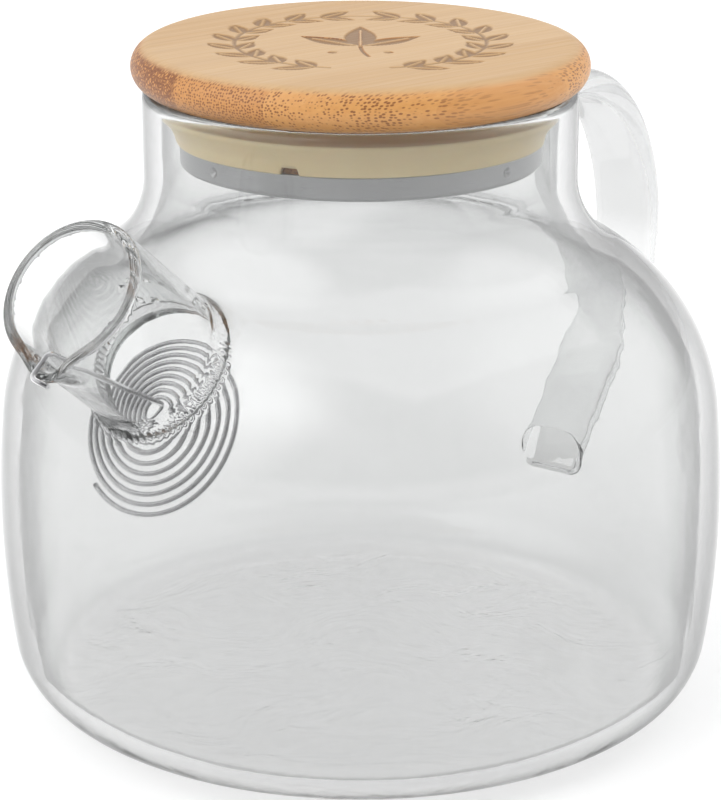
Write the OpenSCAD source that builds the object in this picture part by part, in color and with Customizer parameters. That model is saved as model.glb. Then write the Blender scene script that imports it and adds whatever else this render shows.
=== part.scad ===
// Glass teapot with a bamboo lid and a wire filter behind the spout.
// Origin: centre of the flat base, on the table. +Z is up.
// The spout points along -X and the handle along +X. Millimetres.

/* [Glass body] */
// Radius of the flat base, where the rounded bottom edge starts
base_r = 57.8; // [54:0.1:60]
// Radius of the rounded bottom edge
edge_r = 13.89; // [12:0.01:16]
// Radius of curvature of the side
side_r = 199.84; // [190:0.01:210]
// Radius of curvature of the shoulder
shoulder_r = 42.08; // [40:0.01:44]
// Radius of the hollow curve between shoulder and neck
neck_fillet_r = 17.7; // [16:0.1:19]
// Angle below level at which the bottom edge runs into the side
edge_end = -7.86; // [-10:0.01:-6]
// Angle at which the side runs into the shoulder
side_end = 6.11; // [5:0.01:8]
// Angle at which the shoulder runs into the neck curve
shoulder_end = 59.67; // [57:0.01:62]
// Height of the rim
rim_z = 124.95; // [120:0.05:130]
// Thickness of the blown glass
glass_wall = 3.7; // [3:0.1:4]

/* [Spout] */
// Distance of the mouth's centre from the pot's axis
mouth_x = 84.3; // [82:0.1:88]
// Height of the mouth's centre
mouth_z = 102.85; // [100:0.05:106]
// Angle of the spout above level
spout_rise = 40; // [38:0.5:42]
// Outer radius of the spout
spout_r = 14.4; // [13.5:0.1:15]
// Thickness of the spout's glass
spout_wall = 2.2; // [2:0.1:2.6]
// Outer radius of the pouring lip
lip_r = 4.4; // [4:0.1:5]
// Angle at which the lip turns down from the spout
lip_tilt = 20; // [15:1:25]
// How far the mouth is dipped at the lip
lip_dip = 3.4; // [3:0.1:3.6]
// Outer radius of the swollen ring where the spout meets the body
root_r = 16.6; // [15:0.1:17]

/* [Handle] */
// Width of the glass strap
strap_w = 16; // [14:0.5:18]
// Thickness of the glass strap
strap_t = 6; // [5:0.5:7]
// Where the strap's centre line starts, inside the neck
strap_start = [38, 105.75]; // [0:0.25:120]
// Heading of the strap at its start, above level
strap_heading = 28; // [25:1:30]
// Radii of the three bends of the strap, from the top
bend_r = [78.9, 30.8, 45.8]; // [20:0.1:90]
// Angles that the three bends turn through
bend_turn = [16.95, 68.5, 71.6]; // [10:0.5:80]
// Length of the straight lower end
strap_tail = 26; // [22:1:28]

/* [Lid] */
// Radius of the bamboo disc
lid_r = 45; // [44:0.5:47]
// Thickness of the bamboo disc
lid_t = 8.4; // [7:0.1:10]
// Height of the underside of the disc
lid_z = 125.15; // [125.15:0.05:126]
// Radius of the bamboo plug under the disc
plug_r = 35; // [34:0.1:35]
// Radius of the silicone ring at its top
seal_top_r = 39.05; // [38:0.05:39.05]
// Radius of the silicone ring at its foot
seal_foot_r = 36.3; // [36:0.1:37]
// Height of the silicone ring
seal_h = 6.6; // [6:0.1:8]
// Radius of the plug's shoulder above the ring
collar_r = 36.3; // [35.5:0.1:37]
// Height of the shoulder
collar_h = 3; // [1:0.1:4]
// Radius of the steel cap
cap_r = 35.75; // [35.6:0.05:36]
// Height of the steel cap's band
cap_h = 4.8; // [4:0.1:6]
// Thickness of the cap's sheet steel
cap_t = 0.6; // [0.5:0.1:0.7]

/* [Spring filter] */
// Diameter of the stainless wire
wire_d = 1; // [0.8:0.1:1]
// Radius at which the coil starts, to the wire's centre
coil_in_r = 2.5; // [2.4:0.1:3]
// Radius of the outermost turn, to the wire's centre
coil_out_r = 17.4; // [16:0.1:17.4]
// Turns of the coil
coil_turns = 9.1; // [6.1:1:9.1]
// Distance of the coil's centre from the pot's axis
coil_x = 59.3; // [57:0.1:59.5]
// Height of the coil's centre
coil_z = 70.9; // [70:0.1:72]
// Angle of the coil's face above level
coil_rise = 30; // [28:1:32]
// How far the stem pulls the middle of the coil towards the spout
coil_pull = 4.5; // [3:0.1:5]
// How far the stem lifts the middle of the coil
coil_lift = 1.2; // [0:0.1:1.5]
// Length of the hook's tail beside the lip
tail_l = 4.1; // [3:0.1:5]

/* [Hidden] */
$fn = 96;

glass = [0.86, 0.93, 0.95, 0.45];
bamboo = [0.80, 0.60, 0.36];
silicone = [0.90, 0.86, 0.72];
steel = [0.62, 0.63, 0.64];
wire = [0.75, 0.76, 0.78];

// Point on a circle in the half-plane of the profile
function on_arc(centre, r, angle) = centre + r * [cos(angle), sin(angle)];

// Centres of the profile's arcs: each runs into the next without a corner
edge_c = [base_r, edge_r];
side_c = on_arc(edge_c, edge_r - side_r, edge_end);
shoulder_c = on_arc(side_c, side_r - shoulder_r, side_end);
fillet_c = on_arc(shoulder_c, shoulder_r + neck_fillet_r, shoulder_end);
neck_r = fillet_c[0] - neck_fillet_r;
rim_c = [neck_r - glass_wall / 2, rim_z - glass_wall / 2];

// Heights of the foot of the silicone ring and of the steel cap
seal_z = lid_z - collar_h - seal_h;
cap_z = seal_z - cap_h;

// Directions of the spout and the coil in the XZ plane
spout_bore = spout_r - spout_wall;
spout_dir = [-cos(spout_rise), 0, sin(spout_rise)];
spout_down = [-sin(spout_rise), 0, -cos(spout_rise)];
mouth_c = [-mouth_x, 0, mouth_z];
root_depth = 34;
coil_dir = [-cos(coil_rise), 0, sin(coil_rise)];
coil_up = [sin(coil_rise), 0, cos(coil_rise)];
coil_c = [-coil_x, 0, coil_z];
wire_sides = 8;
wire_bend = 1.2;

// Bends of the wire: foot of the stem, over the lip, end of the hook, end of the tail
stem_foot = coil_c + coil_pull * coil_dir + (coil_lift + 2) * coil_up - [0, 1, 0];
hook_top = mouth_c - (lip_dip - 1.05) * spout_dir + (spout_bore - 0.8) * spout_down;
hook_end = mouth_c - (lip_dip - 2.4) * spout_dir + (spout_bore + 4.9) * spout_down;
tail_end = hook_end + tail_l * [0, -0.98, -0.2];

// Points along an arc, from one angle to another
function arc_points(centre, r, from, to, steps) =
    [for (n = [0 : steps]) on_arc(centre, r, from + (to - from) * n / steps)];

// Half outline of the glass from the base to the neck, moved inwards by inset
function wall_points(inset) = concat(
    [[0, inset]],
    arc_points(edge_c, edge_r - inset, -90, edge_end, 12),
    arc_points(side_c, side_r - inset, edge_end + 2, side_end, 6),
    arc_points(shoulder_c, shoulder_r - inset, side_end + 4, shoulder_end, 12),
    arc_points(fillet_c, neck_fillet_r + inset, shoulder_end + 174, 180, 9)
);

// Closed skin over rings of points that follow one another
module skin(rings) {
    around = len(rings[0]);
    last = (len(rings) - 1) * around;
    polyhedron(
        [for (ring = rings) for (p = ring) p],
        concat(
            [[for (k = [around - 1 : -1 : 0]) k]],
            [for (n = [0 : around : last - 1]) for (k = [0 : around - 1])
                let (next = (k + 1) % around)
                [n + k, n + next, n + around + next, n + around + k]],
            [[for (k = [0 : around - 1]) last + k]]
        )
    );
}

// The space that the outside of the body fills
module body_space() {
    rotate_extrude($fn = 180) polygon(concat(
        wall_points(0), [[neck_r, rim_c[1]], [0, rim_c[1]]]
    ));
}

// Frame of the spout: origin at the mouth, +Z out of it, -X towards the lip
module at_mouth() {
    translate(mouth_c) rotate([0, spout_rise - 90, 0]) children();
}

// Frame of the coil: origin at its centre, +Z towards the spout, +X up
module at_coil() {
    translate(coil_c) rotate([0, coil_rise - 90, 0]) children();
}

// Blown body with a fire-polished rim and the hole that feeds the spout
module glass_body() {
    inner = wall_points(glass_wall);
    color(glass) difference() {
        rotate_extrude($fn = 180) polygon(concat(
            wall_points(0),
            arc_points(rim_c, glass_wall / 2, 0, 180, 10),
            [for (n = [len(inner) - 1 : -1 : 0]) inner[n]]
        ));
        at_mouth() translate([0, 0, -50]) cylinder(r = spout_bore, h = 50);
    }
}

// Round stick along the lip's line, which leaves the spout downwards
module lip_stick(r) {
    translate([-spout_bore - 0.4, 0, -lip_dip]) rotate([0, -lip_tilt, 0])
        translate([0, 0, -13]) cylinder(r = r, h = 18);
}

// Drawn tube with a rounded mouth, a pouring lip and a swollen root
module spout() {
    rim_r = spout_wall / 2;
    scoop_r = 12;
    color(glass) difference() {
        at_mouth() difference() {
            union() {
                translate([0, 0, -45]) cylinder(r = spout_r, h = 45 - rim_r);
                translate([0, 0, -rim_r]) rotate_extrude()
                    translate([spout_r - rim_r, 0]) circle(r = rim_r, $fn = 32);
                translate([0, 0, -root_depth]) cylinder(r1 = root_r, r2 = spout_r, h = 8);
                lip_stick(lip_r);
            }
            translate([0, 0, -46]) cylinder(r = spout_bore, h = 50);
            lip_stick(lip_r - spout_wall + 0.2);
            translate([-24, 0, scoop_r - lip_dip]) rotate([0, 90, 0])
                cylinder(r = scoop_r, h = 14);
        }
        body_space();
    }
}

// State of the strap's centre line after its first n bends: x, z, heading
function strap_state(n) = n == 0
    ? [strap_start[0], strap_start[1], strap_heading]
    : let (
        heading = strap_state(n - 1)[2] - bend_turn[n - 1],
        end = on_arc(bend_centre(n - 1), bend_r[n - 1], heading + 90)
    ) [end[0], end[1], heading];

// Centre of bend n, below the centre line
function bend_centre(n) = let (s = strap_state(n))
    on_arc([s[0], s[1]], bend_r[n], s[2] - 90);

// Places along the centre line: x, z, heading
function strap_stations() = let (bends = len(bend_r), tail = strap_state(bends)) concat(
    [for (n = [0 : bends - 1]) let (s = strap_state(n), steps = ceil(bend_turn[n] / 6))
        for (k = [0 : steps - 1]) let (heading = s[2] - bend_turn[n] * k / steps)
            concat(on_arc(bend_centre(n), bend_r[n], heading + 90), heading)],
    [tail],
    [[tail[0] + strap_tail * cos(tail[2]), tail[1] + strap_tail * sin(tail[2]), tail[2]]]
);

// Cross-section of the strap with round edges: across the width, through the thickness
strap_section = concat(
    arc_points([(strap_w - strap_t) / 2, 0], strap_t / 2, -90, 90, 12),
    arc_points([(strap_t - strap_w) / 2, 0], strap_t / 2, 90, 270, 12)
);

// Strap handle: the section carried along three bends and a straight end
module handle() {
    color(glass) difference() {
        skin([for (s = strap_stations()) [for (p = strap_section)
            [s[0] - p[1] * sin(s[2]), p[0], s[1] + p[1] * cos(s[2])]]]);
        body_space();
    }
}

// Turned bamboo: a disc with a rounded edge, a shoulder and the plug under it
module bamboo_lid() {
    joined = 0.5;
    color(bamboo) translate([0, 0, lid_z]) {
        rotate_extrude($fn = 180) {
            square([lid_r - lid_t / 2, lid_t]);
            translate([lid_r - lid_t / 2, lid_t / 2]) circle(d = lid_t, $fn = 64);
        }
        translate([0, 0, -collar_h]) cylinder(r = collar_r, h = collar_h + joined);
        translate([0, 0, cap_z + cap_t + joined - lid_z]) cylinder(r = plug_r, h = lid_z - cap_z - cap_t);
    }
}

// Tapered silicone ring round the plug, with a vent notch at its foot
module seal_ring() {
    notch_w = 4;
    notch_at = 197;
    color(silicone) translate([0, 0, seal_z]) difference() {
        rotate_extrude($fn = 180) polygon([
            [plug_r, 0], [seal_foot_r, 0], [seal_foot_r + 0.5, 2.4],
            [seal_top_r, 5.2], [seal_top_r, seal_h], [plug_r, seal_h]
        ]);
        rotate(notch_at) translate([plug_r + 2, 0, 0])
            cube([6, notch_w, 3.2], center = true);
    }
}

// Pressed steel cap over the end of the plug, held by four dimples
module steel_cap() {
    dimple_r = 1.2;
    color(steel) translate([0, 0, cap_z]) difference() {
        rotate_extrude($fn = 180) difference() {
            union() {
                square([cap_r - 1, 1]);
                translate([0, 1]) square([cap_r, cap_h - 1]);
                translate([cap_r - 1, 1]) circle(r = 1, $fn = 48);
            }
            translate([0, cap_t]) square([cap_r - cap_t, cap_h]);
        }
        for (angle = [49, 131, 229, 311])
            rotate(angle + 217.8) translate([cap_r + 0.85, 0, 2.6]) sphere(r = dimple_r, $fn = 24);
    }
}

function unit(v) = v / norm(v);

// Rounded corner of the wire
function corner(before, at, after) = let (
    a = at + wire_bend * unit(before - at),
    b = at + wire_bend * unit(after - at)
) [for (t = [0 : 0.25 : 1]) (1 - t) * (1 - t) * a + 2 * t * (1 - t) * at + t * t * b];

// Point of the coil after a share of its turns, from the outside in
function coil_point(share) = let (
    angle = 180 - (1 - share) * coil_turns * 360,
    r = coil_out_r + (coil_in_r - coil_out_r) * share
) coil_c + share * (coil_pull * coil_dir + coil_lift * coil_up)
    + r * (cos(angle) * coil_up + sin(angle) * [0, 1, 0]);

// Centre line of the wire from the outer end of the coil to the tip of the tail
function wire_line() = let (
    steps = round(coil_turns * 28),
    start = coil_point(1)
) concat(
    [for (n = [0 : steps - 3]) coil_point(n / steps)],
    corner(coil_point(1 - 2 / steps), start, stem_foot),
    corner(start, stem_foot, hook_top),
    corner(stem_foot, hook_top, hook_end),
    corner(hook_top, hook_end, tail_end),
    [tail_end]
);

// Direction of the wire at a point of its line
function heading(line, n) =
    unit(line[min(n + 1, len(line) - 1)] - line[max(n - 1, 0)]);

// Part of a vector that lies across a direction, made one long
function across(v, direction) = unit(v - (v * direction) * direction);

// One wire: a spiral disc, a stem through the spout and a hook over the lip
module spring_filter() {
    line = wire_line();
    sides = [for (
        n = 0, side = across(coil_dir, heading(line, 0));
        n < len(line);
        n = n + 1, side = across(side, heading(line, min(n, len(line) - 1)))
    ) side];
    color(wire) skin([for (n = [0 : len(line) - 1])
        let (other = cross(heading(line, n), sides[n]))
        [for (k = [0 : wire_sides - 1])
            line[n] + wire_d / 2 * on_arc([0, 0], 1, k * 360 / wire_sides) * [sides[n], other]]
    ]);
}

glass_body();
spout();
handle();
bamboo_lid();
seal_ring();
steel_cap();
spring_filter();
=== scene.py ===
"""Looks of the glass teapot: fused glass, bamboo lid, silicone seal, steel cap and wire filter.

Lengths in the numbers below are in millimetres and become metres through MM. +Z is up, the
spout points along -X and the handle along +X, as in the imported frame.
"""

import math

import bmesh
import bpy
import numpy as np
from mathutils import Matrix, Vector

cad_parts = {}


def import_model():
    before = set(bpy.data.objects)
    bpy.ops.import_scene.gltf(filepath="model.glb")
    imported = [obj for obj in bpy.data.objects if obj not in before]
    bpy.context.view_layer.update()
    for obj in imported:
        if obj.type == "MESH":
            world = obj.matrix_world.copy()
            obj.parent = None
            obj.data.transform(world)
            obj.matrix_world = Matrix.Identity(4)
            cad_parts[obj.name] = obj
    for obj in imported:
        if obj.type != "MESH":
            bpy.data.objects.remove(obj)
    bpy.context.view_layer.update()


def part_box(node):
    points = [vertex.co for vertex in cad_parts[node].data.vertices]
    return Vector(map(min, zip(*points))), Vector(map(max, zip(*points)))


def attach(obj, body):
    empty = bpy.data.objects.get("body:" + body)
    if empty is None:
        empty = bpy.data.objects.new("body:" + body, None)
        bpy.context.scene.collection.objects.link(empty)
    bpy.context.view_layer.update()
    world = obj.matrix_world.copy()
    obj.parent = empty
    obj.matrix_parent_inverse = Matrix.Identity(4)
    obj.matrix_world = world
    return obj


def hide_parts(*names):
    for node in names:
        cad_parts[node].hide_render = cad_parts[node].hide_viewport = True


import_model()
MM = 0.001

# ---------------------------------------------------------------- camera
CAMERA_AZIMUTH = math.radians(217.8)
CAMERA_DISTANCE = 556.5
CAMERA_HEIGHT = 250.1
TARGET_HEIGHT = 59.47
LENS = 130.0

camera_data = bpy.data.cameras.new("camera")
camera_data.lens = LENS
camera_data.clip_end = 30
camera = bpy.data.objects.new("camera", camera_data)
bpy.context.collection.objects.link(camera)
camera.location = (
    MM * CAMERA_DISTANCE * math.cos(CAMERA_AZIMUTH),
    MM * CAMERA_DISTANCE * math.sin(CAMERA_AZIMUTH),
    MM * CAMERA_HEIGHT,
)
aim = Vector((0, 0, MM * TARGET_HEIGHT)) - camera.location
camera.rotation_euler = aim.to_track_quat("-Z", "Y").to_euler()
bpy.context.scene.camera = camera

# ---------------------------------------------------------------- sizes shared with the frame
BASE_R, EDGE_R, SIDE_R, SHOULDER_R, FILLET_R = 57.8, 13.89, 199.84, 42.08, 17.7
EDGE_END, SIDE_END, SHOULDER_END = -7.86, 6.11, 59.67
RIM_Z, WALL = 124.95, 3.7

MOUTH = np.array([-84.3, 0.0, 102.85])
SPOUT_RISE = math.radians(40)
SPOUT_R, SPOUT_WALL, LIP_DIP = 14.4, 2.2, 3.4
SPOUT_OUT = np.array([-math.cos(SPOUT_RISE), 0, math.sin(SPOUT_RISE)])
SPOUT_DOWN = np.array([-math.sin(SPOUT_RISE), 0, -math.cos(SPOUT_RISE)])

STRAP_W, STRAP_T = 16.0, 6.0
STRAP_START, STRAP_HEADING = (38.0, 105.75), 28.0
BENDS = ((78.9, 16.95), (30.8, 68.5), (45.8, 71.6))
STRAP_TAIL = 26.0

LID_R, LID_T = 45.0, 8.4
LID_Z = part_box("bamboo_lid")[1][2] / MM - LID_T
COLLAR_R, COLLAR_H = 36.3, 3.0
PLUG_R, PLUG_END = 35.0, 13.3
SEAL_H, CAP_R, CAP_H, SHEET = 6.6, 35.75, 4.8, 0.6


def on_arc(centre, r, angle):
    return centre[0] + r * math.cos(math.radians(angle)), centre[1] + r * math.sin(math.radians(angle))


# ---------------------------------------------------------------- distance fields of the glass
def body_arcs():
    """Centre, radius, first and last angle and outward sign of each arc of the wall's middle."""
    edge = (BASE_R, EDGE_R)
    side = on_arc(edge, EDGE_R - SIDE_R, EDGE_END)
    shoulder = on_arc(side, SIDE_R - SHOULDER_R, SIDE_END)
    fillet = on_arc(shoulder, SHOULDER_R + FILLET_R, SHOULDER_END)
    half = WALL / 2
    return (
        (edge, EDGE_R - half, -90, EDGE_END, 1),
        (side, SIDE_R - half, EDGE_END, SIDE_END, 1),
        (shoulder, SHOULDER_R - half, SIDE_END, SHOULDER_END, 1),
        (fillet, FILLET_R + half, SHOULDER_END + 180, 180, -1),
    )


def arc_distance(u, v, centre, r, first, last):
    """Signed radial distance to an arc and the plain distance, with its ends counted."""
    du, dv = u - centre[0], v - centre[1]
    radial = np.hypot(du, dv) - r
    middle, half = math.radians((first + last) / 2), math.radians(abs(last - first) / 2)
    off = np.abs((np.arctan2(dv, du) - middle + math.pi) % (2 * math.pi) - math.pi)
    tips = (on_arc(centre, r, first), on_arc(centre, r, last))
    ends = np.minimum(*(np.hypot(u - x, v - z) for x, z in tips))
    return radial, np.where(off <= half, np.abs(radial), ends)


def body_middle(p):
    """Distance to the middle of the body's wall: signed, outside positive, and plain."""
    rho, z = np.hypot(p[:, 0], p[:, 1]), p[:, 2]
    half = WALL / 2
    neck_r = body_arcs()[3][0][0] - FILLET_R - half
    neck_z = body_arcs()[3][0][1]
    over = np.maximum(np.maximum(neck_z - z, z - (RIM_Z - half)), 0)
    best = np.hypot(rho - neck_r, over)
    signed = rho - neck_r
    base = np.hypot(np.maximum(rho - BASE_R, 0), z - half)
    signed = np.where(base < best, half - z, signed)
    best = np.minimum(best, base)
    for centre, r, first, last, sign in body_arcs():
        radial, plain = arc_distance(rho, z, centre, r, first, last)
        signed = np.where(plain < best, sign * radial, signed)
        best = np.minimum(best, plain)
    return signed, best


def smooth_min(a, b, k):
    h = np.clip(0.5 + 0.5 * (b - a) / k, 0, 1)
    return b + (a - b) * h - k * h * (1 - h)


def smooth_step(x, low, high):
    t = np.clip((x - low) / (high - low), 0, 1)
    return t * t * (3 - 2 * t)


def spout_coordinates(p):
    """Along the spout, from its mouth outwards, its radius, and the angle from its lip."""
    q = p - MOUTH
    along, down, side = q @ SPOUT_OUT, q @ SPOUT_DOWN, q[:, 1]
    return along, np.hypot(down, side), np.arctan2(side, down)


LIP_REACH, LIP_HALF_ANGLE, LIP_LENGTH = 3.0, 0.27, 11.0
DIP_HALF_ANGLE, SPOUT_BACK = 0.42, 46.0


def spout_lines(along, angle):
    """Radius of the middle of the tube's wall and where the tube ends, with the lip drawn out."""
    lip = np.exp(-((angle / LIP_HALF_ANGLE) ** 2))
    dip = np.exp(-((angle / DIP_HALF_ANGLE) ** 2))
    drawn_out = smooth_step(along, -LIP_LENGTH, -LIP_DIP / 2) ** 1.5
    middle = SPOUT_R - SPOUT_WALL / 2 + LIP_REACH * lip * drawn_out
    end = -SPOUT_WALL / 2 - LIP_DIP * dip
    return middle, end


def spout_tube(p, outside):
    """Distance to the spout's wall, thicker in a bead where it meets the body."""
    along, r, angle = spout_coordinates(p)
    middle, end = spout_lines(along, angle)
    bead = 0.75 * np.exp(-(((outside - 0.8) / 1.7) ** 2))
    rough = 0.25 * (1 - smooth_step(np.abs(angle), 1.8, 2.4))
    ripple = 1 + rough * np.sin(64 * angle + 0.8 * np.sin(9 * angle))
    half = SPOUT_WALL / 2 + bead * ripple
    past = np.maximum(along - end, -SPOUT_BACK - along)
    return np.hypot(r - middle, np.maximum(past, 0)) - half


def spout_bore(p):
    along, r, angle = spout_coordinates(p)
    middle, _ = spout_lines(along, angle)
    return np.maximum(r - (middle - SPOUT_WALL / 2), -SPOUT_BACK - along)


def strap_pieces():
    """The strap's bends as arcs, and its straight end as two points."""
    (x, z), heading, arcs = STRAP_START, STRAP_HEADING, []
    for r, turn in BENDS:
        centre = on_arc((x, z), r, heading - 90)
        arcs.append((centre, r, heading + 90 - turn, heading + 90))
        heading -= turn
        x, z = on_arc(centre, r, heading + 90)
    tip = x + STRAP_TAIL * math.cos(math.radians(heading)), z + STRAP_TAIL * math.sin(math.radians(heading))
    return arcs, (x, z), tip


STRAP_TAPER, STRAP_FLARE = 2.2, 3.0


def strap(p):
    """Distance to the handle's strap, which narrows a little towards its lower end."""
    arcs, a, b = strap_pieces()
    x, z = p[:, 0], p[:, 2]
    d = np.full(len(p), 1e3)
    for centre, r, first, last in arcs:
        d = np.minimum(d, arc_distance(x, z, centre, r, first, last)[1])
    ax, az = b[0] - a[0], b[1] - a[1]
    t = np.clip(((x - a[0]) * ax + (z - a[1]) * az) / (ax * ax + az * az), 0, 1)
    d = np.minimum(d, np.hypot(x - a[0] - t * ax, z - a[1] - t * az))
    width = STRAP_W - STRAP_TAPER * smooth_step(-z, -90, -30) + STRAP_FLARE * smooth_step(-z, -60, -51)
    across = np.maximum(np.abs(p[:, 1]) - (width - STRAP_T) / 2, 0)
    return np.hypot(d, across) - STRAP_T / 2


WELD_SPOUT, WELD_HANDLE = 1.4, 1.2


def glass_distance(p):
    """Signed distance to the whole fused glass, negative in the glass."""
    signed, plain = body_middle(p)
    shell = plain - WALL / 2
    outside = signed - WALL / 2
    glass = smooth_min(shell, spout_tube(p, outside), WELD_SPOUT)
    glass = smooth_min(glass, strap(p), WELD_HANDLE)
    cavity = -(signed + WALL / 2)
    glass = np.maximum(glass, cavity)
    melt = 0.4 + 4.2 * (1 - smooth_step(outside, -1.5, 2.5))
    return -smooth_min(-glass, spout_bore(p), melt)


# ---------------------------------------------------------------- mesh of a distance field
def surface_net(field, axes):
    """Quads of the zero surface of a distance field, one point per grid cell that it crosses."""
    counts = [len(axis) for axis in axes]
    values = np.empty(counts, np.float32)
    y, z = (c.ravel() for c in np.meshgrid(axes[1], axes[2], indexing="ij"))
    for i, x in enumerate(axes[0]):
        values[i] = field(np.stack([np.full(y.size, x), y, z], 1)).reshape(counts[1:])
    inside = values < 0
    cells = tuple(n - 1 for n in counts)
    total, crossings = np.zeros((*cells, 3), np.float32), np.zeros(cells, np.int8)
    corner = [(a, b, c) for a in (0, 1) for b in (0, 1) for c in (0, 1)]

    def part(grid, offset):
        return grid[tuple(slice(o, o + n) for o, n in zip(offset, cells))]

    for a in corner:
        for k in range(3):
            if a[k]:
                continue
            b = tuple(o + (j == k) for j, o in enumerate(a))
            va, vb = part(values, a), part(values, b)
            cut = (va < 0) != (vb < 0)
            t = np.where(cut, va / np.where(cut, va - vb, 1), 0)
            for j in range(3):
                total[..., j] += np.where(cut, a[j] + (t if j == k else 0), 0)
            crossings += cut
    used = crossings > 0
    index = np.full(cells, -1, np.int64)
    index[used] = np.arange(used.sum())
    where = np.argwhere(used)
    share = total[used] / crossings[used][:, None]
    points = np.stack([
        axes[k][where[:, k]] + share[:, k] * np.diff(axes[k])[where[:, k]] for k in range(3)
    ], 1)
    quads = []
    for k in range(3):
        u, v = (k + 1) % 3, (k + 2) % 3
        a = inside[tuple(slice(0, -1) if j == k else slice(1, -1) for j in range(3))]
        b = inside[tuple(slice(1, None) if j == k else slice(1, -1) for j in range(3))]
        place = np.argwhere(a != b)
        out = a[tuple(place.T)]
        place[:, u] += 1
        place[:, v] += 1
        ring = []
        for du, dv in ((1, 1), (0, 1), (0, 0), (1, 0)):
            cell = place.copy()
            cell[:, u] -= du
            cell[:, v] -= dv
            ring.append(index[tuple(cell.T)])
        ring = np.stack(ring, 1)
        ring[~out] = ring[~out][:, ::-1]
        quads.append(ring)
    return points, np.concatenate(quads)


def gradient(field, points, h=0.02):
    g = np.stack([field(points + h * e) - field(points - h * e) for e in np.eye(3)], 1)
    return g / (2 * h)


def settle(field, points, rounds=4):
    """Moves points onto the zero surface along its slope."""
    for _ in range(rounds):
        g = gradient(field, points)
        size = np.maximum((g * g).sum(1), 0.2)
        move = (field(points) / size)[:, None] * g
        points = points - np.clip(move, -0.6, 0.6)
    return points


def relax(points, quads, share=0.5):
    """Moves each point part of the way to the middle of its neighbours."""
    total, count = np.zeros_like(points), np.zeros(len(points))
    for k in range(4):
        a, b = quads[:, k], quads[:, (k + 1) % 4]
        np.add.at(total, a, points[b])
        np.add.at(count, a, 1)
        np.add.at(total, b, points[a])
        np.add.at(count, b, 1)
    return points + share * (total / count[:, None] - points)


def slopes(field, points):
    """Unit outward direction of the surface at each point."""
    g = gradient(field, points)
    return g / np.linalg.norm(g, axis=1)[:, None]


def refine(field, points, faces, bend):
    """Splits the edges along which the surface bends by more than a number of degrees."""
    facing = slopes(field, points)
    mesh = bmesh.new()
    vertices = [mesh.verts.new(point) for point in points]
    for face in faces:
        mesh.faces.new([vertices[k] for k in face])
    mesh.verts.index_update()
    mesh.edges.ensure_lookup_table()
    ends = np.array([[v.index for v in edge.verts] for edge in mesh.edges])
    bent = (facing[ends[:, 0]] * facing[ends[:, 1]]).sum(1) < math.cos(math.radians(bend))
    bent_edges = [mesh.edges[k] for k in np.flatnonzero(bent)]
    bmesh.ops.subdivide_edges(mesh, edges=bent_edges, cuts=1, use_grid_fill=True)
    mesh.verts.index_update()
    points = np.array([vertex.co[:] for vertex in mesh.verts])
    faces = [[vertex.index for vertex in face.verts] for face in mesh.faces]
    mesh.free()
    return settle(field, points, 3), faces


def mesh_object(name, points, faces, normals=None):
    mesh = bpy.data.meshes.new(name)
    mesh.from_pydata((points * MM).tolist(), [], faces)
    mesh.update()
    mesh.shade_smooth()
    if normals is not None:
        mesh.normals_split_custom_set_from_vertices(normals)
    piece = bpy.data.objects.new(name, mesh)
    bpy.context.collection.objects.link(piece)
    return piece


COARSE = 1.0
REFINE_ROUNDS = 2
BEND_LIMIT = 16


def grid_axis(*stretches):
    """Grid lines along stretches of (start, end, step), end to end."""
    lines = []
    for a, b, step in stretches:
        count = max(2, round((b - a) / (step * COARSE)) + 1)
        lines.append(np.linspace(a, b, count)[:-1])
    return np.concatenate([*lines, [stretches[-1][1]]])


def glass_piece():
    """Body, spout and handle as one skin, on a grid that is finest at the spout and the rim."""
    axes = (
        grid_axis((-100, -62, 0.9), (-62, 60, 1.9), (60, 106, 1.3)),
        grid_axis((-77, -19, 1.9), (-19, 19, 1.1), (19, 77, 1.9)),
        grid_axis((-3, 44, 1.9), (44, 72, 1.3), (72, 118, 1.0), (118, 128, 0.9)),
    )
    points, quads = surface_net(glass_distance, axes)
    for _ in range(4):
        points = settle(glass_distance, relax(points, quads), 2)
    faces = quads.tolist()
    for _ in range(REFINE_ROUNDS):
        points, faces = refine(glass_distance, points, faces, BEND_LIMIT)
    return mesh_object("glass_pot", points, faces, slopes(glass_distance, points))


# ---------------------------------------------------------------- materials
def material(name):
    mat = bpy.data.materials.new(name)
    mat.use_nodes = True
    return mat, mat.node_tree.nodes, mat.node_tree.links, mat.node_tree.nodes["Principled BSDF"]


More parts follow.
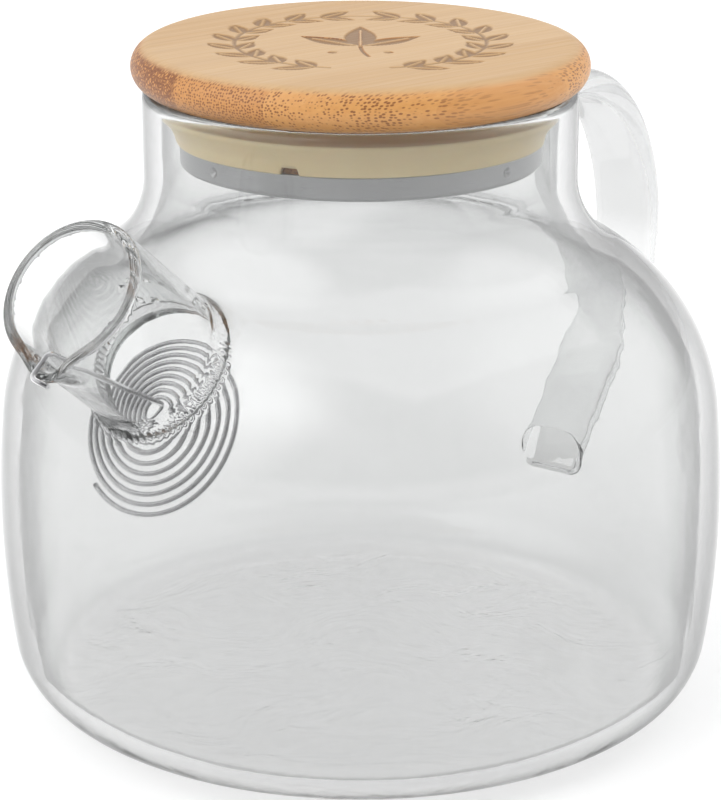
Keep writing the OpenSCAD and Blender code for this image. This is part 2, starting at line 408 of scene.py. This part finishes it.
def glass_material():
    """Clear glass with the faint ripple of blown walls, uneven at the base, and painted shade: greyer where
    it turns away.
    """
    mat, nodes, links, bsdf = material("clear_glass")
    bsdf.inputs["Roughness"].default_value = 0.0
    bsdf.inputs["IOR"].default_value = 1.47
    bsdf.inputs["Transmission Weight"].default_value = 1.0
    # Painted shade: the tint turns dark grey where the surface turns away, dark edges painted into the
    # glass's colour
    facing = nodes.new("ShaderNodeLayerWeight")
    facing.inputs["Blend"].default_value = 0.5
    painted_edge_shade = ramp(nodes, links, facing.outputs["Facing"], 0.52, 0.86)

    vector, flat = coordinates(nodes, links, (1, 1, 0.45))
    split = nodes.new("ShaderNodeSeparateXYZ")
    links.new(flat, split.inputs["Vector"])
    # Painted light and shade in the tint: the thin drawn spout is painted clearer than the body, the
    # strap's upper part is painted greyer, and the painted edge shade is eased on the spout and where the
    # strap is welded on
    drawn = maths(nodes, links, "MULTIPLY", ramp(nodes, links, split.outputs["X"], -50, -58),
                  ramp(nodes, links, split.outputs["Z"], 72, 80))
    aside = maths(nodes, links, "ABSOLUTE", split.outputs["Y"], 0)
    welded_on = maths(nodes, links, "MULTIPLY", ramp(nodes, links, split.outputs["X"], 36, 41),
                      ramp(nodes, links, aside, 13, 10))
    edge_shade_eased = maths(nodes, links, "MAXIMUM", drawn, welded_on)
    painted_edge_shade = maths(nodes, links, "MULTIPLY", painted_edge_shade, ramp(nodes, links, edge_shade_eased, 0, 1, 1, 0.25))
    clear_tone = mix(nodes, links, drawn, (0.79, 0.795, 0.793), (0.90, 0.905, 0.903))
    # Painted shade: the strap's upper part is tinted darker grey than the rest of the glass
    strap_painted_shade = maths(nodes, links, "MULTIPLY", ramp(nodes, links, split.outputs["X"], 45, 52),
                 ramp(nodes, links, split.outputs["Z"], 70, 80))
    clear_tone = mix(nodes, links, strap_painted_shade, clear_tone, (0.67, 0.675, 0.673))
    tint = mix(nodes, links, painted_edge_shade, clear_tone, (0.06, 0.062, 0.062))
    # Painted light: the level base is tinted nearly clear, lighter than the rest of the glass and without
    # its painted edge shade; its bump is the uneven pool of thicker glass
    low = ramp(nodes, links, split.outputs["Z"], 9.0, 3.0)
    geometry = nodes.new("ShaderNodeNewGeometry")
    upright = nodes.new("ShaderNodeSeparateXYZ")
    links.new(geometry.outputs["Normal"], upright.inputs["Vector"])
    level = ramp(nodes, links, maths(nodes, links, "ABSOLUTE", upright.outputs["Z"], 0), 0.8, 0.97)
    base = maths(nodes, links, "MULTIPLY", low, level)
    links.new(mix(nodes, links, base, tint, (0.97, 0.97, 0.97)), bsdf.inputs["Base Color"])
    blown = noise(nodes, links, vector, 0.09, 2, 0.4)
    pool = nodes.new("ShaderNodeTexNoise")
    pool.inputs["Scale"].default_value = 0.045
    pool.inputs["Detail"].default_value = 5
    pool.inputs["Distortion"].default_value = 1.6
    links.new(flat, pool.inputs["Vector"])
    uneven = maths(nodes, links, "MULTIPLY", maths(nodes, links, "MULTIPLY", pool.outputs["Fac"], low), 5.0)
    bump(nodes, links, maths(nodes, links, "ADD", blown, uneven), 0.5, 0.16, bsdf.inputs["Normal"])

    # Shadow rays pass straight through, so the floor inside the pot isn't black
    clear = nodes.new("ShaderNodeBsdfTransparent")
    clear.inputs["Color"].default_value = (1, 1, 1, 1)
    path = nodes.new("ShaderNodeLightPath")
    either = nodes.new("ShaderNodeMixShader")
    links.new(path.outputs["Is Shadow Ray"], either.inputs[0])
    links.new(bsdf.outputs[0], either.inputs[1])
    links.new(clear.outputs[0], either.inputs[2])
    inside = nodes.new("ShaderNodeVolumeAbsorption")
    inside.inputs["Color"].default_value = (0.60, 0.63, 0.62, 1)
    inside.inputs["Density"].default_value = 3
    links.new(either.outputs[0], nodes["Material Output"].inputs["Surface"])
    links.new(inside.outputs[0], nodes["Material Output"].inputs["Volume"])
    return mat


def coordinates(nodes, links, scale=(1, 1, 1), turn=0.0):
    """Object coordinates in millimetres, turned about Z and scaled, and the turning node's output."""
    source = nodes.new("ShaderNodeTexCoord")
    turned = nodes.new("ShaderNodeMapping")
    turned.inputs["Rotation"].default_value[2] = turn
    turned.inputs["Scale"].default_value = (1 / MM,) * 3
    links.new(source.outputs["Object"], turned.inputs["Vector"])
    scaled = nodes.new("ShaderNodeMapping")
    scaled.inputs["Scale"].default_value = scale
    links.new(turned.outputs["Vector"], scaled.inputs["Vector"])
    return scaled.outputs["Vector"], turned.outputs["Vector"]


def noise(nodes, links, vector, scale, detail=3.0, roughness=0.55):
    node = nodes.new("ShaderNodeTexNoise")
    node.inputs["Scale"].default_value = scale
    node.inputs["Detail"].default_value = detail
    node.inputs["Roughness"].default_value = roughness
    links.new(vector, node.inputs["Vector"])
    return node.outputs["Fac"]


def ramp(nodes, links, value, low, high, to_low=0.0, to_high=1.0):
    node = nodes.new("ShaderNodeMapRange")
    node.interpolation_type = "SMOOTHSTEP"
    for name, number in zip(("From Min", "From Max", "To Min", "To Max"), (low, high, to_low, to_high)):
        node.inputs[name].default_value = number
    links.new(value, node.inputs["Value"])
    return node.outputs["Result"]


def maths(nodes, links, kind, a, b):
    node = nodes.new("ShaderNodeMath")
    node.operation = kind
    for socket, value in zip(node.inputs, (a, b)):
        if isinstance(value, (int, float)):
            socket.default_value = value
        else:
            links.new(value, socket)
    return node.outputs["Value"]


def mix(nodes, links, share, a, b):
    node = nodes.new("ShaderNodeMix")
    node.data_type = "RGBA"
    for socket, value in zip((node.inputs[0], node.inputs[6], node.inputs[7]), (share, a, b)):
        if isinstance(value, (int, float)):
            socket.default_value = value
        elif isinstance(value, tuple):
            socket.default_value = (*value, 1)
        else:
            links.new(value, socket)
    return node.outputs[2]


def bump(nodes, links, height, strength, distance, target):
    node = nodes.new("ShaderNodeBump")
    node.inputs["Strength"].default_value = strength
    node.inputs["Distance"].default_value = distance * MM
    links.new(height, node.inputs["Height"])
    links.new(node.outputs["Normal"], target)


GRAIN_TURN = math.radians(13.4)
STRIP_WIDTH = 21.0


def bamboo_material():
    """Laminated bamboo: long fibres along the grain, dots where they are cut, strips of varied tone."""
    mat, nodes, links, bsdf = material("bamboo")
    _, along = coordinates(nodes, links, turn=GRAIN_TURN)
    split = nodes.new("ShaderNodeSeparateXYZ")
    links.new(along, split.inputs["Vector"])
    strip = maths(nodes, links, "FLOOR", maths(nodes, links, "DIVIDE", split.outputs["Y"], STRIP_WIDTH), 0)
    strip_noise = nodes.new("ShaderNodeTexWhiteNoise")
    strip_noise.noise_dimensions = "1D"
    links.new(maths(nodes, links, "ADD", strip, 3.0), strip_noise.inputs["W"])
    tone = strip_noise.outputs["Value"]

    fine, _ = coordinates(nodes, links, (0.012, 1.0, 1.0), GRAIN_TURN)
    fibre = noise(nodes, links, fine, 1.6, 4, 0.6)
    streak = noise(nodes, links, fine, 0.35, 3, 0.6)
    cells, _ = coordinates(nodes, links, (0.035, 1.0, 1.0), GRAIN_TURN)
    bundles = nodes.new("ShaderNodeTexVoronoi")
    bundles.inputs["Scale"].default_value = 1.85
    bundles.inputs["Randomness"].default_value = 0.6
    links.new(cells, bundles.inputs["Vector"])
    dot = ramp(nodes, links, bundles.outputs["Distance"], 0.24, 0.46, 1, 0)
    net = nodes.new("ShaderNodeTexVoronoi")
    net.feature = "DISTANCE_TO_EDGE"
    net.inputs["Scale"].default_value = 1.3
    links.new(cells, net.inputs["Vector"])
    mesh_line = ramp(nodes, links, net.outputs["Distance"], 0.06, 0.3, 1.0, 0)
    second = ramp(nodes, links, split.outputs["Y"], -1.0, 1.0)

    geometry = nodes.new("ShaderNodeNewGeometry")
    grain = nodes.new("ShaderNodeVectorMath")
    grain.operation = "DOT_PRODUCT"
    grain.inputs[1].default_value = (math.cos(GRAIN_TURN), -math.sin(GRAIN_TURN), 0)
    links.new(geometry.outputs["Normal"], grain.inputs[0])
    cut = ramp(nodes, links, maths(nodes, links, "ABSOLUTE", grain.outputs["Value"], 0), 0.1, 0.5)
    normal = nodes.new("ShaderNodeSeparateXYZ")
    links.new(geometry.outputs["Normal"], normal.inputs["Vector"])
    edge = ramp(nodes, links, normal.outputs["Z"], 0.97, 0.7)

    top = mix(nodes, links, fibre, (0.64, 0.42, 0.205), (0.54, 0.325, 0.14))
    top = mix(nodes, links, ramp(nodes, links, streak, 0.35, 0.7, 0, 0.5), top, (0.50, 0.295, 0.13))
    top = mix(nodes, links, ramp(nodes, links, tone, 0, 1, 0, 0.22), top, (0.72, 0.52, 0.31))
    side = mix(nodes, links, fibre, (0.74, 0.385, 0.125), (0.60, 0.265, 0.07))
    side = mix(nodes, links, ramp(nodes, links, tone, 0.2, 0.9, 0, 0.3), side, (0.42, 0.15, 0.04))
    body = mix(nodes, links, edge, top, side)
    dots = maths(nodes, links, "MULTIPLY", dot, ramp(nodes, links, second, 0, 1, 1, 0.25))
    pattern = maths(nodes, links, "ADD", dots, maths(nodes, links, "MULTIPLY", mesh_line, second))
    seen = maths(nodes, links, "MULTIPLY", pattern, ramp(nodes, links, edge, 0, 1, 0.1, 0.85))
    seen = maths(nodes, links, "MULTIPLY", seen, ramp(nodes, links, cut, 0, 1, 0.35, 1.0))
    body = mix(nodes, links, seen, body, (0.20, 0.06, 0.015))
    # Painted shade: the edge is darkened towards dark brown where it faces down
    under = ramp(nodes, links, normal.outputs["Z"], 0.1, -0.8, 0, 0.45)
    body = mix(nodes, links, under, body, (0.26, 0.13, 0.05))

    burnt = nodes.new("ShaderNodeAttribute")
    burnt.attribute_name = "burnt"
    scorch = maths(nodes, links, "MULTIPLY", burnt.outputs["Fac"], 0.85)
    body = mix(nodes, links, scorch, body, (0.22, 0.11, 0.04))
    links.new(body, bsdf.inputs["Base Color"])
    links.new(ramp(nodes, links, fibre, 0.2, 0.8, 0.38, 0.55), bsdf.inputs["Roughness"])
    bsdf.inputs["Coat Weight"].default_value = 0.12
    bsdf.inputs["Coat Roughness"].default_value = 0.3
    height = maths(nodes, links, "SUBTRACT", fibre, maths(nodes, links, "MULTIPLY", seen, 0.8))
    bump(nodes, links, height, 0.35, 0.12, bsdf.inputs["Normal"])
    return mat


def silicone_material():
    mat, nodes, links, bsdf = material("silicone")
    vector, _ = coordinates(nodes, links)
    cloud = noise(nodes, links, vector, 0.12, 2)
    grit = noise(nodes, links, vector, 3.0, 2)
    links.new(mix(nodes, links, cloud, (0.94, 0.77, 0.47), (0.88, 0.69, 0.39)), bsdf.inputs["Base Color"])
    links.new(ramp(nodes, links, grit, 0.3, 0.7, 0.38, 0.5), bsdf.inputs["Roughness"])
    bsdf.inputs["Subsurface Weight"].default_value = 0.25
    bsdf.inputs["Subsurface Radius"].default_value = (1.0, 0.7, 0.4)
    bsdf.inputs["Subsurface Scale"].default_value = 2 * MM
    bump(nodes, links, grit, 0.12, 0.04, bsdf.inputs["Normal"])
    return mat


def brushed_material():
    """Sheet steel brushed round the band: fine streaks along the turn, none across."""
    mat, nodes, links, bsdf = material("brushed_steel")
    source = nodes.new("ShaderNodeTexCoord")
    split = nodes.new("ShaderNodeSeparateXYZ")
    links.new(source.outputs["Object"], split.inputs["Vector"])
    turn = maths(nodes, links, "ARCTAN2", split.outputs["Y"], split.outputs["X"])
    join = nodes.new("ShaderNodeCombineXYZ")
    links.new(maths(nodes, links, "MULTIPLY", turn, 6.0), join.inputs["X"])
    links.new(maths(nodes, links, "MULTIPLY", split.outputs["Z"], 9000.0), join.inputs["Y"])
    brush = noise(nodes, links, join.outputs["Vector"], 1.0, 4, 0.65)
    tint = mix(nodes, links, brush, (0.32, 0.32, 0.325), (0.52, 0.52, 0.525))
    links.new(tint, bsdf.inputs["Base Color"])
    bsdf.inputs["Metallic"].default_value = 1.0
    bsdf.inputs["Anisotropic"].default_value = 0.8
    bsdf.inputs["Anisotropic Rotation"].default_value = 0.25
    around = nodes.new("ShaderNodeTangent")
    around.direction_type = "RADIAL"
    around.axis = "Z"
    links.new(around.outputs["Tangent"], bsdf.inputs["Tangent"])
    links.new(ramp(nodes, links, brush, 0.25, 0.75, 0.26, 0.42), bsdf.inputs["Roughness"])
    bump(nodes, links, brush, 0.15, 0.03, bsdf.inputs["Normal"])
    return mat


def wire_material():
    """Bright drawn wire with a painted reflection: darker where it faces out and brighter at a glancing
    angle.
    """
    mat, nodes, links, bsdf = material("drawn_wire")
    vector, _ = coordinates(nodes, links)
    drawn = noise(nodes, links, vector, 1.4, 3)
    # Painted reflection: the colour goes from dark where the wire faces out to near white at a glancing
    # angle
    facing = nodes.new("ShaderNodeLayerWeight")
    facing.inputs["Blend"].default_value = 0.5
    edge = ramp(nodes, links, facing.outputs["Facing"], 0.12, 0.6)
    painted_dark_core = mix(nodes, links, drawn, (0.20, 0.20, 0.205), (0.30, 0.30, 0.305))
    links.new(mix(nodes, links, edge, painted_dark_core, (0.95, 0.95, 0.96)), bsdf.inputs["Base Color"])
    bsdf.inputs["Metallic"].default_value = 1.0
    links.new(ramp(nodes, links, drawn, 0.3, 0.7, 0.13, 0.22), bsdf.inputs["Roughness"])
    return mat


# ---------------------------------------------------------------- turned and drawn pieces
def lathe(profile, turns, shape=None):
    """Points and faces of a profile turned about Z. shape may move the points."""
    angles = np.linspace(0, 2 * math.pi, turns, endpoint=False)
    r, z = np.array(profile, float).T
    points = np.stack([
        np.outer(r, np.cos(angles)), np.outer(r, np.sin(angles)), np.repeat(z[:, None], turns, 1)
    ], -1).reshape(-1, 3)
    if shape is not None:
        points = shape(points)
    n, k = np.meshgrid(np.arange(len(profile) - 1), np.arange(turns), indexing="ij")
    a, b = n * turns + k, n * turns + (k + 1) % turns
    faces = np.stack([a, b, b + turns, a + turns], -1).reshape(-1, 4)
    return points, faces.tolist()


def welded(piece, distance=0.004):
    """Joins points that lie on each other, such as a profile's ends on the axis."""
    mesh = bmesh.new()
    mesh.from_mesh(piece.data)
    bmesh.ops.remove_doubles(mesh, verts=mesh.verts, dist=distance * MM)
    bmesh.ops.recalc_face_normals(mesh, faces=mesh.faces)
    mesh.to_mesh(piece.data)
    mesh.free()
    return piece


def arc_line(centre, r, first, last, steps):
    return [on_arc(centre, r, first + (last - first) * n / steps) for n in range(steps + 1)]


# The ornament is a wreath of leaves round a sprig, upright as the camera sees the lid at rest
ORNAMENT_RIGHT = (-math.sin(CAMERA_AZIMUTH), math.cos(CAMERA_AZIMUTH))
ORNAMENT_SCALE = 1.2
WREATH_R = 20.5
LEAF_PAIRS = 9


def leaf(u, v, base, angle, length, width):
    """Depth inside a pointed leaf that starts at base, with its midrib left out."""
    c, s = math.cos(math.radians(angle)), math.sin(math.radians(angle))
    along = ((u - base[0]) * c + (v - base[1]) * s) / length
    across = np.abs(-(u - base[0]) * s + (v - base[1]) * c)
    half = width / 2 * np.sin(math.pi * np.clip(along, 0, 1) ** 0.85)
    inside = np.where((along > 0) & (along < 1), half - across, -1)
    return np.minimum(inside, np.where(along < 0.8, across - 0.22, 1))


def line(distance, half):
    """Depth inside a line, from the distance to its middle and half its width."""
    return half - np.abs(distance)


def ornament(u, v):
    """How deep inside the engraving a point is, in millimetres; negative outside it."""
    u, v = u / ORNAMENT_SCALE, v / ORNAMENT_SCALE
    r, angle = np.hypot(u, v), np.degrees(np.arctan2(v, u))
    gap = np.abs((angle + 90 + 180) % 360 - 180) < 13
    depth = np.where(gap, -1, line(r - WREATH_R, 0.28))
    for side in (-1, 1):
        for n in range(LEAF_PAIRS):
            turn = -90 + side * (20 + 17.6 * n)
            base = on_arc((0, 0), WREATH_R, turn)
            for lean, length in ((32, 7.6), (-38, 6.2)):
                way = turn + side * (90 - lean)
                depth = np.maximum(depth, leaf(u, v, base, way, length, 3.0))
    for lean, length, width in ((90, 15.5, 5.2), (38, 12.5, 4.6), (142, 12.5, 4.6)):
        depth = np.maximum(depth, leaf(u, v, (0, -3.5), lean, length, width))
    stem = np.where((v > -12) & (v < -3.5), line(u - 0.02 * (v + 3.5) ** 2, 0.3), -1)
    depth = np.maximum(depth, stem)
    for x in (-4.5, 4.5):
        depth = np.maximum(depth, 0.75 - np.hypot(u - x, v + 8.5))
    return depth


ENGRAVING = 0.28
ENGRAVED_R = 30.0


def bamboo_piece():
    """Disc with a round edge, collar and plug, with the ornament pressed into its top."""
    top, edge = LID_Z + LID_T, LID_T / 2
    reach = ENGRAVED_R
    flat = [(0.001 + reach * n / 76, top) for n in range(77)]
    rest = [(reach + (LID_R - edge - reach) * n / 8, top) for n in range(1, 8)]
    round_edge = arc_line((LID_R - edge, top - edge), edge, 90, -90, 22)
    collar_z, end_z = LID_Z - COLLAR_H, LID_Z - PLUG_END
    under = [(39, LID_Z), (COLLAR_R + 0.2, LID_Z), (COLLAR_R, LID_Z - 0.1)]
    collar = [(COLLAR_R, collar_z + 0.1), (COLLAR_R - 0.1, collar_z)]
    plug = [(PLUG_R, collar_z), (PLUG_R, end_z + 0.1), (PLUG_R - 0.2, end_z), (0.001, end_z)]
    turns = 720
    burnt = []

    def engrave(points):
        x, y = points[:, 0], points[:, 1]
        u = x * ORNAMENT_RIGHT[0] + y * ORNAMENT_RIGHT[1]
        v = -x * ORNAMENT_RIGHT[1] + y * ORNAMENT_RIGHT[0]
        depth = smooth_step(ornament(u, v), -0.12, 0.16)
        depth = np.where((points[:, 2] > top - 0.01) & (np.hypot(x, y) < reach), depth, 0)
        burnt.append(depth)
        return points - np.stack([0 * x, 0 * x, depth * ENGRAVING], 1)

    points, faces = lathe(flat + rest + round_edge + under + collar + plug, turns, engrave)
    piece = mesh_object("bamboo_disc", points, faces)
    attribute = piece.data.attributes.new("burnt", "FLOAT", "POINT")
    attribute.data.foreach_set("value", burnt[0].astype(np.float32))
    return welded(piece)


def seal_piece():
    """Silicone ring with a soft wiping lip, and a vent notch at its foot."""
    foot = LID_Z - COLLAR_H - SEAL_H
    outer = [(36.0, 0), (36.25, 0.1), (36.35, 0.35), (36.5, 1.2), (36.9, 2.4), (37.6, 3.6), (38.3, 4.6)]
    lip = [(38.75, 5.2), (38.98, 5.6), (39.05, 5.95), (39.05, 6.3), (38.95, 6.5), (38.7, 6.6)]
    top = [(36.0, 6.6), (35.1, 6.6), (35.1, 0), (36.0, 0)]
    profile = [(r, foot + z) for r, z in outer + lip + top]
    notch_turn, notch_half, notch_height = math.radians(197), 1.7, 1.5

    def notch(points):
        turn = np.arctan2(points[:, 1], points[:, 0])
        off = np.abs((turn - notch_turn + math.pi) % (2 * math.pi) - math.pi) * 36.3
        lift = notch_height * (1 - smooth_step(off, notch_half - 0.2, notch_half + 0.2))
        low = points[:, 2] < foot + notch_height
        moved = points.copy()
        moved[:, 2] = np.where(low, np.maximum(points[:, 2], foot + lift), points[:, 2])
        return moved

    points, faces = lathe(profile, 540, notch)
    return welded(mesh_object("seal_ring_soft", points, faces))


# Turns of the dimples from the camera's azimuth, two of them in sight
DIMPLE_TURNS = (49, 131, 229, 311)


def cap_piece():
    """Pressed cap: rolled foot, plain band, thin upper edge, four punched dimples."""
    height, r, sheet = CAP_H, CAP_R, SHEET
    foot = LID_Z - COLLAR_H - SEAL_H - height
    corner = arc_line((r - 1, foot + 1), 1.0, -90, 0, 8)
    rows = 20
    band = [(r, foot + 1 + (height - 1.15) * n / rows) for n in range(1, rows + 1)]
    edge = [(r - 0.05, foot + height - 0.05), (r - 0.15, foot + height), (r - sheet, foot + height)]
    inner = [(r - sheet, foot + 1.2), (r - 1.2, foot + sheet), (0.001, foot + sheet)]
    profile = [(0.001, foot), (20, foot), (30, foot)] + corner + band + edge + inner
    dimples = [CAMERA_AZIMUTH + math.radians(a) for a in DIMPLE_TURNS]

    def punch(points):
        turn = np.arctan2(points[:, 1], points[:, 0])
        rho = np.hypot(points[:, 0], points[:, 1])
        dent = np.zeros(len(points))
        for a in dimples:
            off = ((turn - a + math.pi) % (2 * math.pi) - math.pi) * r
            away = np.hypot(off, points[:, 2] - foot - 2.7)
            dent += 0.55 * np.exp(-((away / 0.62) ** 2)) - 0.06 * np.exp(-(((away - 1.15) / 0.3) ** 2))
        dent = np.where(rho > r - 0.3, dent, 0)
        return points * np.stack([1 - dent / np.maximum(rho, 1)] * 2 + [np.ones(len(points))], 1)

    points, faces = lathe(profile, 1080, punch)
    return welded(mesh_object("lid_cap", points, faces))


# ---------------------------------------------------------------- the wire filter
WIRE_D, COIL_IN, COIL_OUT, COIL_TURNS = 1.0, 2.5, 17.4, 9.1
COIL_PULL, COIL_LIFT, WIRE_BEND, TAIL = 4.5, 1.2, 1.2, 4.1
COIL_RISE = math.radians(30)
COIL_OUTWARD = np.array([-math.cos(COIL_RISE), 0, math.sin(COIL_RISE)])
COIL_UP = np.array([math.sin(COIL_RISE), 0, math.cos(COIL_RISE)])
COIL_CENTRE = np.array([-59.3, 0, 70.9])


def coil_point(share):
    angle = math.radians(180 - (1 - share) * COIL_TURNS * 360)
    r = COIL_OUT + (COIL_IN - COIL_OUT) * share
    middle = COIL_CENTRE + share * (COIL_PULL * COIL_OUTWARD + COIL_LIFT * COIL_UP)
    return middle + r * (math.cos(angle) * COIL_UP + math.sin(angle) * np.array([0, 1, 0]))


def corner(before, at, after, steps=8):
    a = at + WIRE_BEND * (before - at) / np.linalg.norm(before - at)
    b = at + WIRE_BEND * (after - at) / np.linalg.norm(after - at)
    return [(1 - t) ** 2 * a + 2 * t * (1 - t) * at + t * t * b for t in np.linspace(0, 1, steps + 1)]


def wire_line():
    """Centre line from the coil's outer end to the tip of the hook's tail."""
    foot = COIL_CENTRE + COIL_PULL * COIL_OUTWARD + (COIL_LIFT + 2) * COIL_UP - np.array([0, 1, 0])
    bore = SPOUT_R - SPOUT_WALL
    over = MOUTH - (LIP_DIP - 1.05) * SPOUT_OUT + (bore - 0.8) * SPOUT_DOWN
    end = MOUTH - (LIP_DIP - 2.4) * SPOUT_OUT + (bore + 4.9) * SPOUT_DOWN
    tip = end + TAIL * np.array([0, -0.98, -0.2])
    steps = 640
    coil = [coil_point(n / steps) for n in range(steps - 8)]
    start = coil_point(1)
    bends = corner(coil[-1], start, foot) + corner(start, foot, over)
    return coil + bends + corner(foot, over, end) + corner(over, end, tip) + [tip]


def tube(points, r, sides):
    """Points and faces of a round tube along a line, closed by flat ends."""
    points = np.array(points)
    ahead = np.gradient(points, axis=0)
    ahead /= np.linalg.norm(ahead, axis=1)[:, None]
    side, frames = COIL_OUTWARD, []
    for way in ahead:
        side = side - (side @ way) * way
        side = side / np.linalg.norm(side)
        frames.append((side, np.cross(way, side)))
    frames = np.array(frames)
    angles = np.linspace(0, 2 * math.pi, sides, endpoint=False)
    ring = np.stack([np.cos(angles), np.sin(angles)], 1)
    rings = points[:, None] + r * np.einsum("ka,nac->nkc", ring, frames)
    n, k = np.meshgrid(np.arange(len(points) - 1), np.arange(sides), indexing="ij")
    a, b = n * sides + k, n * sides + (k + 1) % sides
    walls = np.stack([a, b, b + sides, a + sides], -1).reshape(-1, 4).tolist()
    last = (len(points) - 1) * sides
    ends = [list(range(sides - 1, -1, -1)), [last + k for k in range(sides)]]
    return rings.reshape(-1, 3), walls, ends


def wire_piece():
    points, walls, ends = tube(wire_line(), WIRE_D / 2, 14)
    mesh = bpy.data.meshes.new("filter_wire")
    mesh.from_pydata((points * MM).tolist(), [], walls + ends)
    mesh.update()
    mesh.polygons.foreach_set("use_smooth", [True] * len(walls) + [False] * len(ends))
    piece = bpy.data.objects.new("filter_wire", mesh)
    bpy.context.collection.objects.link(piece)
    return piece


# ---------------------------------------------------------------- assembly
def place(piece, body, node, slot, mat):
    """Rides a piece on its body, in place of its CAD node, with its material."""
    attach(piece, body)
    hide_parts(*node)
    piece.data.materials.clear()
    piece.data.materials.append(mat)


place(glass_piece(), "pot", ("glass_body", "spout", "handle"), "clear_glass", glass_material())
place(bamboo_piece(), "lid", ("bamboo_lid",), "bamboo", bamboo_material())
place(seal_piece(), "lid", ("seal_ring",), "silicone", silicone_material())
place(cap_piece(), "lid", ("steel_cap",), "lid_steel", brushed_material())
place(wire_piece(), "filter", ("spring_filter",), "filter_wire", wire_material())

# ---------------------------------------------------------------- floor and light
def floor():
    """Pale floor just under the base, with a faint even glow so that it stays white."""
    bpy.ops.mesh.primitive_plane_add(size=9, location=(0, 0, -0.4 * MM))
    plane = bpy.context.object
    plane.name = "floor"
    mat, nodes, links, bsdf = material("floor")
    bsdf.inputs["Base Color"].default_value = (0.80, 0.80, 0.80, 1)
    bsdf.inputs["Emission Color"].default_value = (1, 1, 1, 1)
    bsdf.inputs["Emission Strength"].default_value = 0.28
    bsdf.inputs["Roughness"].default_value = 0.9
    bsdf.inputs["Specular IOR Level"].default_value = 0.2
    plane.data.materials.append(mat)


def direction(turn, rise):
    """Unit vector at a turn from the camera's azimuth and a height above level, in degrees."""
    azimuth, rise = CAMERA_AZIMUTH + math.radians(turn), math.radians(rise)
    return Vector((math.cos(rise) * math.cos(azimuth), math.cos(rise) * math.sin(azimuth), math.sin(rise)))


def soft_light(name, way, distance, size, radiance):
    """Square area light of a given brightness that looks at the pot."""
    data = bpy.data.lights.new(name, "AREA")
    data.size = size * MM
    data.energy = radiance * math.pi * data.size**2
    light = bpy.data.objects.new(name, data)
    bpy.context.collection.objects.link(light)
    light.location = way * distance * MM
    light.rotation_euler = (-way).to_track_quat("-Z", "Y").to_euler()


def glow(nodes, links, vector, way, near, far):
    """1 close to a direction, fading to 0; near and far are cosines."""
    node = nodes.new("ShaderNodeVectorMath")
    node.operation = "DOT_PRODUCT"
    node.inputs[1].default_value = way
    links.new(vector, node.inputs[0])
    return ramp(nodes, links, node.outputs["Value"], far, near)


def world():
    """Pale horizon, darker ceiling, two soft glows, and the dark side where the photographer stands."""
    scene_world = bpy.data.worlds.new("studio")
    bpy.context.scene.world = scene_world
    scene_world.use_nodes = True
    nodes, links = scene_world.node_tree.nodes, scene_world.node_tree.links
    background = nodes["Background"]
    around = nodes.new("ShaderNodeTexCoord").outputs["Generated"]
    split = nodes.new("ShaderNodeSeparateXYZ")
    links.new(around, split.inputs["Vector"])
    height = ramp(nodes, links, split.outputs["Z"], 0.12, 0.5)
    room = mix(nodes, links, height, (0.88, 0.88, 0.88), (0.68, 0.68, 0.69))
    raised = ramp(nodes, links, split.outputs["Z"], 0.1, 0.25)
    dark = maths(nodes, links, "MULTIPLY", glow(nodes, links, around, direction(0, 0), 0.75, 0.4), raised)
    room = mix(nodes, links, dark, room, (0.2, 0.2, 0.2))
    for turn, rise, bright in ((-65, 38, 2.2), (95, 32, 1.5)):
        share = glow(nodes, links, around, direction(turn, rise), 0.97, 0.72)
        room = mix(nodes, links, share, room, (bright,) * 3)
    links.new(room, background.inputs["Color"])
    background.inputs["Strength"].default_value = 1.0


floor()
world()
soft_light("overhead", direction(150, 78), 1700, 2400, 0.5)
bpy.context.scene.view_settings.view_transform = "Standard"
# Light that is caught in thick glass turns black with fewer bounces than these
bounces = bpy.context.scene.cycles
bounces.max_bounces, bounces.glossy_bounces, bounces.transmission_bounces = 64, 48, 64
bounces.transparent_max_bounces = 16
